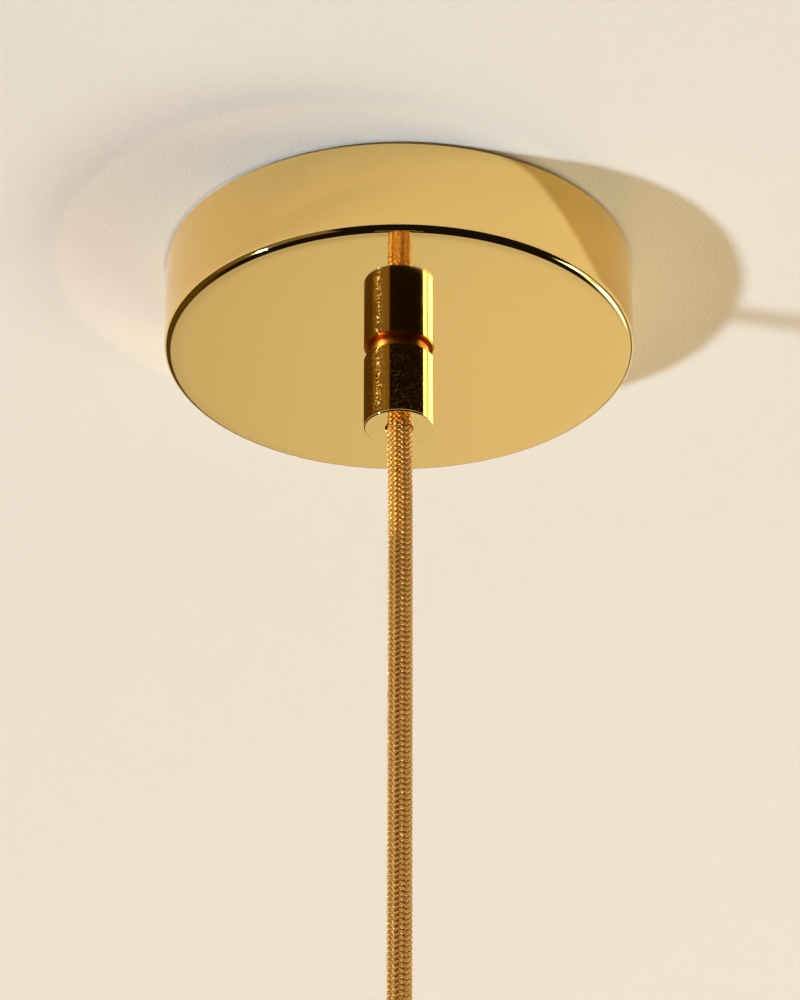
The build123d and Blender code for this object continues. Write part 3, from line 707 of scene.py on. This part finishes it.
def braided_length(name, route):
    """A length of the braided cord along a route; the braid runs on from one length to the next."""
    cord = settings().cord
    line = route_line(route)
    step = cord.lead / (cord.ribbons / 2) / STEPS_PER_WAVE
    frames = frames_along(line, step, CORD_TOP - route[0][2])
    tubes = [tube_rings(frames[::FILLER_STEPS] + frames[-1:], FILLER_RADIUS, FILLER_SIDES)]
    spread = tau / cord.ribbons
    first = RIGHT_WAY_ON_TOP + spread / 4
    for i in range(cord.ribbons):
        tubes.append(ribbon_rings(frames, first + i * spread, 1, cord))
        tubes.append(ribbon_rings(frames, first + i * spread, -1, cord))
    piece = tubes_mesh(name, tubes, BRAID_SMOOTH_ANGLE)
    piece.data.materials.append(finish("gold_braid"))
    return piece, line


class PENDANT_OT_braided_cord(bpy.types.Operator):
    """Braid the cord: one length below the grip, one further down, and its end in the stem"""

    bl_idname = "pendant.braided_cord"
    bl_label = "Braided Cord"

    def execute(self, context):
        lengths = (
            ("cord_braid_upper", GRIP_KNUCKLE, ("collet", "cord_top"), ("cord_stub", "cord_upper"), (
                (0, 0, CORD_TOP), (CORD_LEAN, 0, (CORD_TOP + CORD_JOIN) / 2), (CORD_LEAN, 0, CORD_JOIN),
            )),
            ("cord_braid_lower", CORD_KNUCKLE, ("cord_top", "lamp"), ("cord_lower",), (
                (CORD_LEAN, 0, CORD_JOIN), (CORD_LEAN, 0, CORD_JOIN - LEAN_END), (0, 0, CORD_END),
            )),
        )
        for name, knuckle, bodies, nodes, route in lengths:
            piece, line = braided_length(name, route)
            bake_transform(piece)
            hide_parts(*nodes)

        tail, _ = braided_length("cord_braid_tail", [
            (0, 0, TAIL_TOP), (0, 0, (TAIL_TOP + TAIL_END) / 2), (0, 0, TAIL_END),
        ])
        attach(tail, "canopy")
        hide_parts("cord_tail")
        return {"FINISHED"}


CORE_SIDES = 20
CORE_SPACING = 0.8 * MM


class PENDANT_OT_core_wires(bpy.types.Operator):
    """Lay the three insulated cores from the cord to the terminals"""

    bl_idname = "pendant.core_wires"
    bl_label = "Core Wires"

    def execute(self, context):
        diameter = settings().cord.core_diameter
        for name, slot, route in CORES:
            line = route_line([Vector(point) * MM for point in route])
            rings = tube_rings(frames_along(line, CORE_SPACING), diameter / 2, CORE_SIDES)
            piece = tubes_mesh(f"{name}_core", [rings])
            piece.data.materials.append(finish(slot))
            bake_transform(piece)
            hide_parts(f"{name}_wire")
        return {"FINISHED"}


# Brass pieces

# Steps round a small, a middling and a wide turned piece
SMALL_TURN = 96
TURN = 192
WIDE_TURN = 256
# Plain width that is kept beside a rounded edge
GUARD = 0.1 * MM
CANOPY_WALL = 1.5 * MM
CANOPY_EDGE = 1.8 * MM
# How far inside the rounded edge, and how much, the mop has worn the polished face down
CANOPY_WEAR = ((0.1 * MM, 0.05 * MM), (1.0 * MM, 0.018 * MM), (2.4 * MM, 0.003 * MM), (4.0 * MM, 0.0))
STUD_HOLE = 5.2 * MM
GRUB_DEPTH = 9.0 * MM
GRUB_HOLE = 2.05 * MM
PAD_RADIUS = 5.0 * MM
PAD_THICKNESS = 2.5 * MM
GRIP_EDGE = 0.4 * MM
GRIP_THREAD = 6.05 * MM
CORD_HOLE = 3.5 * MM
MOUTH_EDGE = 0.2 * MM
SEAT_RADIUS = 5.7 * MM
SEAT_SHOULDER = 8.6 * MM
SEAT_TOP = 12.8 * MM
SEAT_END = 16.593 * MM
NECK_HEIGHT = 1.75 * MM
NECK_STEP = 1.25 * MM
GRIP_LENGTH = 20.0 * MM
COVER_WALL = 1.2 * MM
COVER_TOP = 1.5 * MM
LIP_EDGE = 0.3 * MM
STEM_BORE = 3.5 * MM
STEM_STUD = 5.0 * MM
STEM_THREAD = 6.0 * MM
STEM_LEAD_IN = 0.5 * MM
STEM_NECK_HEIGHT = 1.65 * MM
STEM_STUD_HEIGHT = 7.0 * MM
THREAD_DEPTH = 0.55 * MM
THREAD_STEPS = 8
CAP_THREAD_STEPS = 16
SHELL_WALL = 0.7 * MM
CAP_THREAD_DEPTH = 1.1 * MM
CAP_PLAIN_TOP = 3.0 * MM
CAP_PLAIN_END = 1.2 * MM


def sharp_crest(phase):
    """Depth below the crest of a cut thread, with its ridge and root slightly flat."""
    return min(1, max(0, 2.4 * abs(phase - 0.5) - 0.1))


def rolled_crest(phase):
    """Depth below the crest of a round, rolled thread."""
    return 0.5 - 0.5 * cos(tau * phase)


class PENDANT_OT_threaded_stem(bpy.types.Operator):
    """Turn the grip's stem, with the threads for its locknut and for the sleeve"""

    bl_idname = "pendant.threaded_stem"
    bl_label = "Threaded Stem"

    def execute(self, context):
        pitch = settings().brass.stud_pitch
        low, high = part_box("grip_stem")
        neck = high.x
        face = high.z - STEM_STUD_HEIGHT
        shoulder = face - STEM_NECK_HEIGHT
        spacing = pitch / THREAD_STEPS
        outline = [(STEM_BORE, high.z), (STEM_STUD - STEM_LEAD_IN, high.z)]
        outline += levels(STEM_STUD, high.z - STEM_LEAD_IN, face, spacing)
        outline += [(neck, face), (neck, shoulder)]
        outline += levels(STEM_THREAD, shoulder, low.z + STEM_LEAD_IN, spacing)
        outline += [(STEM_THREAD - STEM_LEAD_IN, low.z), (STEM_BORE, low.z)]
        stem = turned_piece("threaded_stem", outline, SMALL_TURN)
        wind_thread(stem, STEM_STUD, high.z - STEM_LEAD_IN, face, pitch, THREAD_DEPTH, sharp_crest)
        wind_thread(stem, STEM_THREAD, shoulder, low.z + STEM_LEAD_IN, pitch, THREAD_DEPTH, sharp_crest)
        stem.data.materials.append(finish("faced_brass"))
        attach(stem, "canopy")
        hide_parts("grip_stem")
        return {"FINISHED"}


class PENDANT_OT_lamp_shell(bpy.types.Operator):
    """Press the lampholder's shell, with its round rolled thread on both sides of the sheet"""

    bl_idname = "pendant.lamp_shell"
    bl_label = "Lamp Shell"

    def execute(self, context):
        pitch = settings().brass.cap_pitch
        low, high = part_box("screw_shell")
        outer = high.x
        inner = outer - SHELL_WALL
        spacing = pitch / CAP_THREAD_STEPS
        outline = levels(outer, high.z, low.z, spacing) + levels(inner, low.z, high.z, spacing)
        shell = turned_piece("lamp_shell", outline, SMALL_TURN)
        for radius in (outer, inner):
            thread_top = high.z - CAP_PLAIN_TOP
            thread_end = low.z + CAP_PLAIN_END
            wind_thread(shell, radius, thread_top, thread_end, pitch, CAP_THREAD_DEPTH, rolled_crest)
        shell.data.materials.append(finish("plain_brass"))
        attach(shell, "lamp")
        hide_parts("screw_shell")
        return {"FINISHED"}


class PENDANT_OT_spun_canopy(bpy.types.Operator):
    """Spin the canopy's cup, with its rounded edge, the stud's hole and the pads for the grub screws"""

    bl_idname = "pendant.spun_canopy"
    bl_label = "Spun Canopy"

    def execute(self, context):
        low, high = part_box("canopy_cup")
        outer = high.x
        inner = outer - CANOPY_WALL
        face = low.z
        floor = face + CANOPY_WALL
        edge_wear = CANOPY_WEAR[0][1]
        canopy = turned_piece("spun_canopy", [
            (outer, high.z), (outer, -GRUB_DEPTH + 2 * GRUB_HOLE), (outer, -GRUB_DEPTH - 2 * GRUB_HOLE),
            (outer, face + CANOPY_EDGE + GUARD), (outer, face + edge_wear),
            *[(outer - CANOPY_EDGE - inset, face + wear) for inset, wear in CANOPY_WEAR],
            (STUD_HOLE, face), (STUD_HOLE, floor), (inner, floor),
            (inner, -GRUB_DEPTH - 1.5 * PAD_RADIUS), (inner, -GRUB_DEPTH + 1.5 * PAD_RADIUS), (inner, high.z),
        ], WIDE_TURN, rounds=[(outer, face + edge_wear, CANOPY_EDGE)])
        for side in (-1, 1):
            pad = side * (inner - PAD_THICKNESS)
            in_wall = side * (inner + CANOPY_WALL / 2)
            bar(canopy, "UNION", PAD_RADIUS, (pad, 0, -GRUB_DEPTH), (in_wall, 0, -GRUB_DEPTH))
            start = side * (inner - 2 * PAD_THICKNESS)
            end = side * (outer + PAD_THICKNESS)
            bar(canopy, "DIFFERENCE", GRUB_HOLE, (start, 0, -GRUB_DEPTH), (end, 0, -GRUB_DEPTH))
        tidy_normals(canopy)
        canopy.data.materials.append(finish("polished_brass"))
        finish_faces(canopy, "plain_brass", lambda radius, height: (
            radius < inner + NEAR and height > face + 2 * edge_wear
        ))
        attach(canopy, "canopy")
        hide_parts("canopy_cup")
        return {"FINISHED"}


class PENDANT_OT_turned_grip(bpy.types.Operator):
    """Turn the grip's sleeve, with the cone inside that closes the collet"""

    bl_idname = "pendant.turned_grip"
    bl_label = "Turned Grip"

    def execute(self, context):
        low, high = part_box("grip_sleeve")
        outer = high.x
        top = high.z
        mouth = low.z
        edge = GRIP_EDGE + GUARD
        lip = MOUTH_EDGE + GUARD
        sleeve = turned_piece("turned_grip", [
            (GRIP_THREAD, top), (outer - edge, top), (outer, top), (outer, top - edge),
            (outer, mouth + edge), (outer, mouth), (outer - edge, mouth),
            (CORD_HOLE + lip, mouth), (CORD_HOLE, mouth), (CORD_HOLE, mouth + lip),
            (CORD_HOLE, top - SEAT_END), (SEAT_RADIUS, top - SEAT_TOP),
            (SEAT_RADIUS, top - SEAT_SHOULDER), (GRIP_THREAD, top - SEAT_SHOULDER),
        ], TURN, rounds=[(outer, top, GRIP_EDGE), (outer, mouth, GRIP_EDGE), (CORD_HOLE, mouth, MOUTH_EDGE)])
        sleeve.data.materials.append(finish("turned_brass"))
        finish_faces(sleeve, "faced_brass", lambda radius, height: (
            radius < outer - GRIP_EDGE and height > mouth + MOUTH_EDGE
        ))
        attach(sleeve, "sleeve")
        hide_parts("grip_sleeve")
        return {"FINISHED"}


class PENDANT_OT_lampholder_case(bpy.types.Operator):
    """Turn the lampholder's collar, with its threaded stud and pinch screw hole, and spin its cover"""

    bl_idname = "pendant.lampholder_case"
    bl_label = "Lampholder Case"

    def execute(self, context):
        self.turn_collar(settings().brass.stud_pitch)
        self.spin_cover()
        return {"FINISHED"}

    def turn_collar(self, pitch):
        """The collar has the grip's outside, a neck, and a stud through the cover."""
        low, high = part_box("holder_collar")
        outer = high.x
        foot = high.z - GRIP_LENGTH
        neck = outer - NECK_STEP
        face = foot - NECK_HEIGHT
        edge = GRIP_EDGE + GUARD
        lip = MOUTH_EDGE + GUARD
        outline = [
            (CORD_HOLE, high.z - lip), (CORD_HOLE, high.z), (CORD_HOLE + lip, high.z),
            (outer - edge, high.z), (outer, high.z), (outer, high.z - edge),
            (outer, foot + edge), (outer, foot), (outer - edge, foot), (neck, foot), (neck, face),
        ]
        outline += levels(STEM_STUD, face, low.z + STEM_LEAD_IN, pitch / THREAD_STEPS)
        outline += [(STEM_STUD - STEM_LEAD_IN, low.z), (CORD_HOLE, low.z)]
        rounds = [(CORD_HOLE, high.z, MOUTH_EDGE), (outer, high.z, GRIP_EDGE), (outer, foot, GRIP_EDGE)]
        collar = turned_piece("turned_collar", outline, TURN, rounds)
        wind_thread(collar, STEM_STUD, face, low.z + STEM_LEAD_IN, pitch, THREAD_DEPTH, sharp_crest)
        middle = (high.z + foot) / 2
        bar(collar, "DIFFERENCE", GRUB_HOLE, (0, 0, middle), (0, 2 * outer, middle))
        tidy_normals(collar)
        collar.data.materials.append(finish("turned_brass"))
        finish_faces(collar, "faced_brass", lambda radius, height: (
            radius < outer - GRIP_EDGE and height < high.z - MOUTH_EDGE
        ))
        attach(collar, "lamp")
        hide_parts("holder_collar")

    def spin_cover(self):
        """The cover is a deep cup with a rounded shoulder, open below."""
        low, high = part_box("holder_cover")
        outer = high.x
        inner = outer - COVER_WALL
        floor = high.z - COVER_TOP
        edge = CANOPY_EDGE + GUARD
        lip = LIP_EDGE + GUARD
        cover = turned_piece("spun_cover", [
            (STUD_HOLE, high.z), (outer - edge, high.z), (outer, high.z), (outer, high.z - edge),
            (outer, low.z + lip), (outer, low.z), (inner, low.z), (inner, low.z + lip),
            (inner, floor), (STUD_HOLE, floor),
        ], TURN, rounds=[(outer, high.z, CANOPY_EDGE), (outer, low.z, LIP_EDGE), (inner, low.z, LIP_EDGE)])
        cover.data.materials.append(finish("polished_brass"))
        finish_faces(cover, "plain_brass", lambda radius, height: (
            radius < inner + NEAR and low.z + LIP_EDGE < height < high.z - NEAR
        ))
        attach(cover, "lamp")
        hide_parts("holder_cover")


class PENDANT_OT_brass_finish(bpy.types.Operator):
    """Finish the small brass pieces"""

    bl_idname = "pendant.brass_finish"
    bl_label = "Brass Finish"

    def execute(self, context):
        dress("canopy_screws", "grip_locknut", "collar_screw", "holder_locknut", "terminal_inserts")
        dress("contact_screw", "core_terminals")
        return {"FINISHED"}


class PENDANT_OT_inside_finish(bpy.types.Operator):
    """Finish the plated, moulded and insulated pieces inside the canopy and the lampholder"""

    bl_idname = "pendant.inside_finish"
    bl_label = "Inside Finish"

    def execute(self, context):
        dress("ceiling_strap", "terminal_screws", "block_screw", "earth_screw", "grip_washer")
        dress("holder_washer", "holder_bracket", "core_screws", "core_terminal_screws", "lamp_earth_screw")
        dress("terminal_block", "grip_bush", "holder_core", "wire_ferrules", "earth_lug", "centre_contact")
        dress("lamp_live_wire", "lamp_neutral_wire", "lamp_earth_wire")
        return {"FINISHED"}


# Stage

CEILING_HEIGHT = 0.2 * MM
CEILING_OPENING = 52 * MM
CEILING_REACH = 3.0
CEILING_SIDES = 96

CAMERA_PLACE = (0.25 * MM, -1207.26 * MM, -754.21 * MM)
CAMERA_TILT = radians(119.604)
CAMERA_LENS = 198.59

KEY_TRAVEL = (30.7, 7.8, 26.0)
FILL_PLACE = (0.7, 1.2, -2.2)
WALL_BOUNCE_PLACE = (-15.0 * MM, -3.8 * MM, -2.0)
WALL_BOUNCE_RADIUS = 75.5 * MM
FACE_BOUNCE_AIM = (0, 0, -40 * MM)
FACE_BOUNCE_RADIUS = 34 * MM
FACE_BOUNCE_REACH = 2.0

# Soft panels of the studio: degrees from and to, measured from straight away towards the right, degrees of
# soft edge at each, degrees below the horizon from the panel's top to its foot, colour and strength
STUDIO_PANELS = (
    (-8, 94, 24, 2, 10, 37, "#E9E1CE", 1.0),
    (36, 66.5, 6, 2, 24, 38, "#F8FFE4", 7.7),
    (76, 91, 2, 2, 24, 38, "#F8FFE4", 7.7),
    (-148, -112, 6, 10, 5, 45, "#FFE3AF", 0.21),
    (-112, -84, 10, 10, 5, 45, "#FFD378", 0.17),
    (-84, -20, 10, 20, 5, 45, "#FFC43C", 0.09),
)
PANEL_TOP_SOFT = 3
PANEL_FOOT_SOFT = 6
GLOOM = (0.009, 0.007, 0.004)
OVERHEAD_STRENGTH = 0.5
OVERHEAD_RISE = 0.15
BACKDROP_STRENGTH = 0.9


class PENDANT_OT_stage(bpy.types.Operator):
    """Set up the ceiling, the low key light, the soft studio panels and the camera"""

    bl_idname = "pendant.stage"
    bl_label = "Stage"

    def execute(self, context):
        self.add_ceiling()
        self.add_lights()
        self.add_studio(context.scene)
        self.add_camera(context.scene)
        context.scene.view_settings.view_transform = "Standard"
        return {"FINISHED"}

    def add_ceiling(self):
        """A wide ceiling that faces down; the round of it behind the canopy lets light in from above."""
        deselect()
        bpy.ops.mesh.primitive_circle_add(vertices=CEILING_SIDES, radius=CEILING_REACH, fill_type="NGON")
        ceiling = bpy.context.active_object
        ceiling.name = "ceiling"
        ceiling.data.materials.append(painted_plaster())
        bpy.ops.object.mode_set(mode="EDIT")
        bpy.ops.transform.translate(value=(0, 0, CEILING_HEIGHT))
        bpy.ops.mesh.flip_normals()
        bpy.ops.mesh.inset(thickness=CEILING_REACH - CEILING_OPENING)
        bpy.ops.mesh.separate(type="SELECTED")
        bpy.ops.object.mode_set(mode="OBJECT")
        behind_canopy = next(piece for piece in bpy.context.selected_objects if piece != ceiling)
        behind_canopy.name = "ceiling_behind_canopy"
        behind_canopy.visible_diffuse = False
        behind_canopy.visible_glossy = False
        behind_canopy.visible_shadow = False

    def add_lights(self):
        """A hard key from the lower left, a wide soft fill from the far right, and the canopy's bounce."""
        stage = settings().stage
        brassy = [a * b for a, b in zip(stage.key_colour, settings().brass.polished)]
        reflected = Vector(KEY_TRAVEL).normalized()
        reflected.z = -reflected.z
        face_bounce_place = Vector(FACE_BOUNCE_AIM) - reflected * FACE_BOUNCE_REACH
        lamps = (
            ("key", "SUN", (0, 0, 0), KEY_TRAVEL, True, stage.key_colour, {"angle": stage.key_width}),
            ("fill", "AREA", FILL_PLACE, -Vector(FILL_PLACE), False, stage.fill_colour, {"size": 3.0}),
            # The canopy's wall throws the key light back on the ceiling; a spot stands in for that light
            ("wall_bounce", "SPOT", WALL_BOUNCE_PLACE, (0, 0, 1), False, stage.bounce_colour, {
                "spot_size": 2 * atan2(WALL_BOUNCE_RADIUS, -WALL_BOUNCE_PLACE[2]),
                "spot_blend": 0.1, "shadow_soft_size": 0,
            }),
            # Its face throws the key light down on the grip and the cord; this spot passes the ceiling
            ("face_bounce", "SPOT", face_bounce_place, reflected, True, brassy, {
                "spot_size": 2 * atan2(FACE_BOUNCE_RADIUS, FACE_BOUNCE_REACH),
                "spot_blend": 0.4, "shadow_soft_size": 0, "use_shadow": False,
            }),
        )
        for name, kind, place, way, in_mirrors, colour, options in lamps:
            light = bpy.data.lights.new(name, kind)
            light.energy = getattr(stage, name)
            light.color = colour[:3]
            for option, value in options.items():
                setattr(light, option, value)
            lamp = bpy.data.objects.new(name, light)
            lamp.location = place
            lamp.rotation_euler = Vector(way).to_track_quat("-Z", "Y").to_euler()
            lamp.visible_glossy = in_mirrors
            lamp.visible_camera = False
            bpy.context.collection.objects.link(lamp)

    def add_studio(self, scene):
        """Soft panels round a dark room, which the brass mirrors, and a plain backdrop for the camera."""
        world = bpy.data.worlds.new("studio")
        world.use_nodes = True
        scene.world = world
        tree = world.node_tree
        tree.nodes.clear()
        way = add_node(tree, "ShaderNodeTexCoord").outputs["Generated"]
        part = add_node(tree, "ShaderNodeSeparateXYZ", {"Vector": way})
        height = part.outputs["Z"]
        turn = add_node(tree, "ShaderNodeMath", {
            0: part.outputs["X"], 1: part.outputs["Y"],
        }, operation="ARCTAN2")
        heading = turn.outputs[0]
        glows = [([OVERHEAD_STRENGTH] * 3, [(height, 0.0, OVERHEAD_RISE)])]
        for start, end, start_soft, end_soft, top, foot, colour, strength in STUDIO_PANELS:
            glows.append(([strength * c for c in linear(colour)[:3]], [
                (heading, radians(start - start_soft / 2), radians(start + start_soft / 2)),
                (heading, radians(end + end_soft / 2), radians(end - end_soft / 2)),
                (height, -sin(radians(top - PANEL_TOP_SOFT)), -sin(radians(top + PANEL_TOP_SOFT))),
                (height, -sin(radians(foot + PANEL_FOOT_SOFT)), -sin(radians(foot - PANEL_FOOT_SOFT))),
            ]))
        light = GLOOM
        for glow, edges in glows:
            for value, dark, bright in edges:
                edge = add_node(tree, "ShaderNodeMapRange", {
                    "Value": value, "From Min": dark, "From Max": bright,
                }, interpolation_type="SMOOTHSTEP")
                share = {0: glow, "Scale": edge.outputs["Result"]}
                glow = add_node(tree, "ShaderNodeVectorMath", share, operation="SCALE").outputs[0]
            light = add_node(tree, "ShaderNodeVectorMath", {0: light, 1: glow}, operation="ADD").outputs[0]
        studio = add_node(tree, "ShaderNodeBackground", {"Color": light})
        plain = add_node(tree, "ShaderNodeBackground", {
            "Color": settings().stage.backdrop, "Strength": BACKDROP_STRENGTH,
        })
        seen = add_node(tree, "ShaderNodeLightPath").outputs["Is Camera Ray"]
        mix = add_node(tree, "ShaderNodeMixShader", {
            0: seen, 1: studio.outputs["Background"], 2: plain.outputs["Background"],
        })
        add_node(tree, "ShaderNodeOutputWorld", {"Surface": mix.outputs["Shader"]})

    def add_camera(self, scene):
        """A long lens from below, towards the canopy."""
        lens = bpy.data.cameras.new("camera")
        lens.lens = CAMERA_LENS
        camera = bpy.data.objects.new("camera", lens)
        camera.location = CAMERA_PLACE
        camera.rotation_euler = (CAMERA_TILT, 0, 0)
        bpy.context.collection.objects.link(camera)
        scene.camera = camera


class PENDANT_PT_panel(bpy.types.Panel):
    """Steps and settings of the pendant light"""

    bl_idname = "PENDANT_PT_panel"
    bl_label = "Brass Pendant Light"
    bl_space_type = "VIEW_3D"
    bl_region_type = "UI"
    bl_category = "Pendant"

    def draw(self, context):
        for step in STEPS:
            self.layout.operator(step.bl_idname)
        pendant = context.scene.pendant
        for group in (pendant.brass, pendant.cord, pendant.inside, pendant.stage):
            box = self.layout.box()
            for name in group.__annotations__:
                box.prop(group, name)


STEPS = (
    PENDANT_OT_stage,
    PENDANT_OT_braided_cord,
    PENDANT_OT_core_wires,
    PENDANT_OT_spun_canopy,
    PENDANT_OT_threaded_stem,
    PENDANT_OT_turned_grip,
    PENDANT_OT_lampholder_case,
    PENDANT_OT_lamp_shell,
    PENDANT_OT_brass_finish,
    PENDANT_OT_inside_finish,
)
CLASSES = (
    PENDANT_PG_brass,
    PENDANT_PG_cord,
    PENDANT_PG_inside,
    PENDANT_PG_stage,
    PENDANT_PG_settings,
    *STEPS,
    PENDANT_PT_panel,
)


def register():
    for cls in CLASSES:
        bpy.utils.register_class(cls)
    bpy.types.Scene.pendant = bpy.props.PointerProperty(type=PENDANT_PG_settings)


def unregister():
    del bpy.types.Scene.pendant
    for cls in reversed(CLASSES):
        bpy.utils.unregister_class(cls)


def main():
    """Make every piece and the stage."""
    register()
    bpy.ops.pendant.stage()
    bpy.ops.pendant.braided_cord()
    bpy.ops.pendant.core_wires()
    bpy.ops.pendant.spun_canopy()
    bpy.ops.pendant.threaded_stem()
    bpy.ops.pendant.turned_grip()
    bpy.ops.pendant.lampholder_case()
    bpy.ops.pendant.lamp_shell()
    bpy.ops.pendant.brass_finish()
    bpy.ops.pendant.inside_finish()


if __name__ == "__main__":
    main()
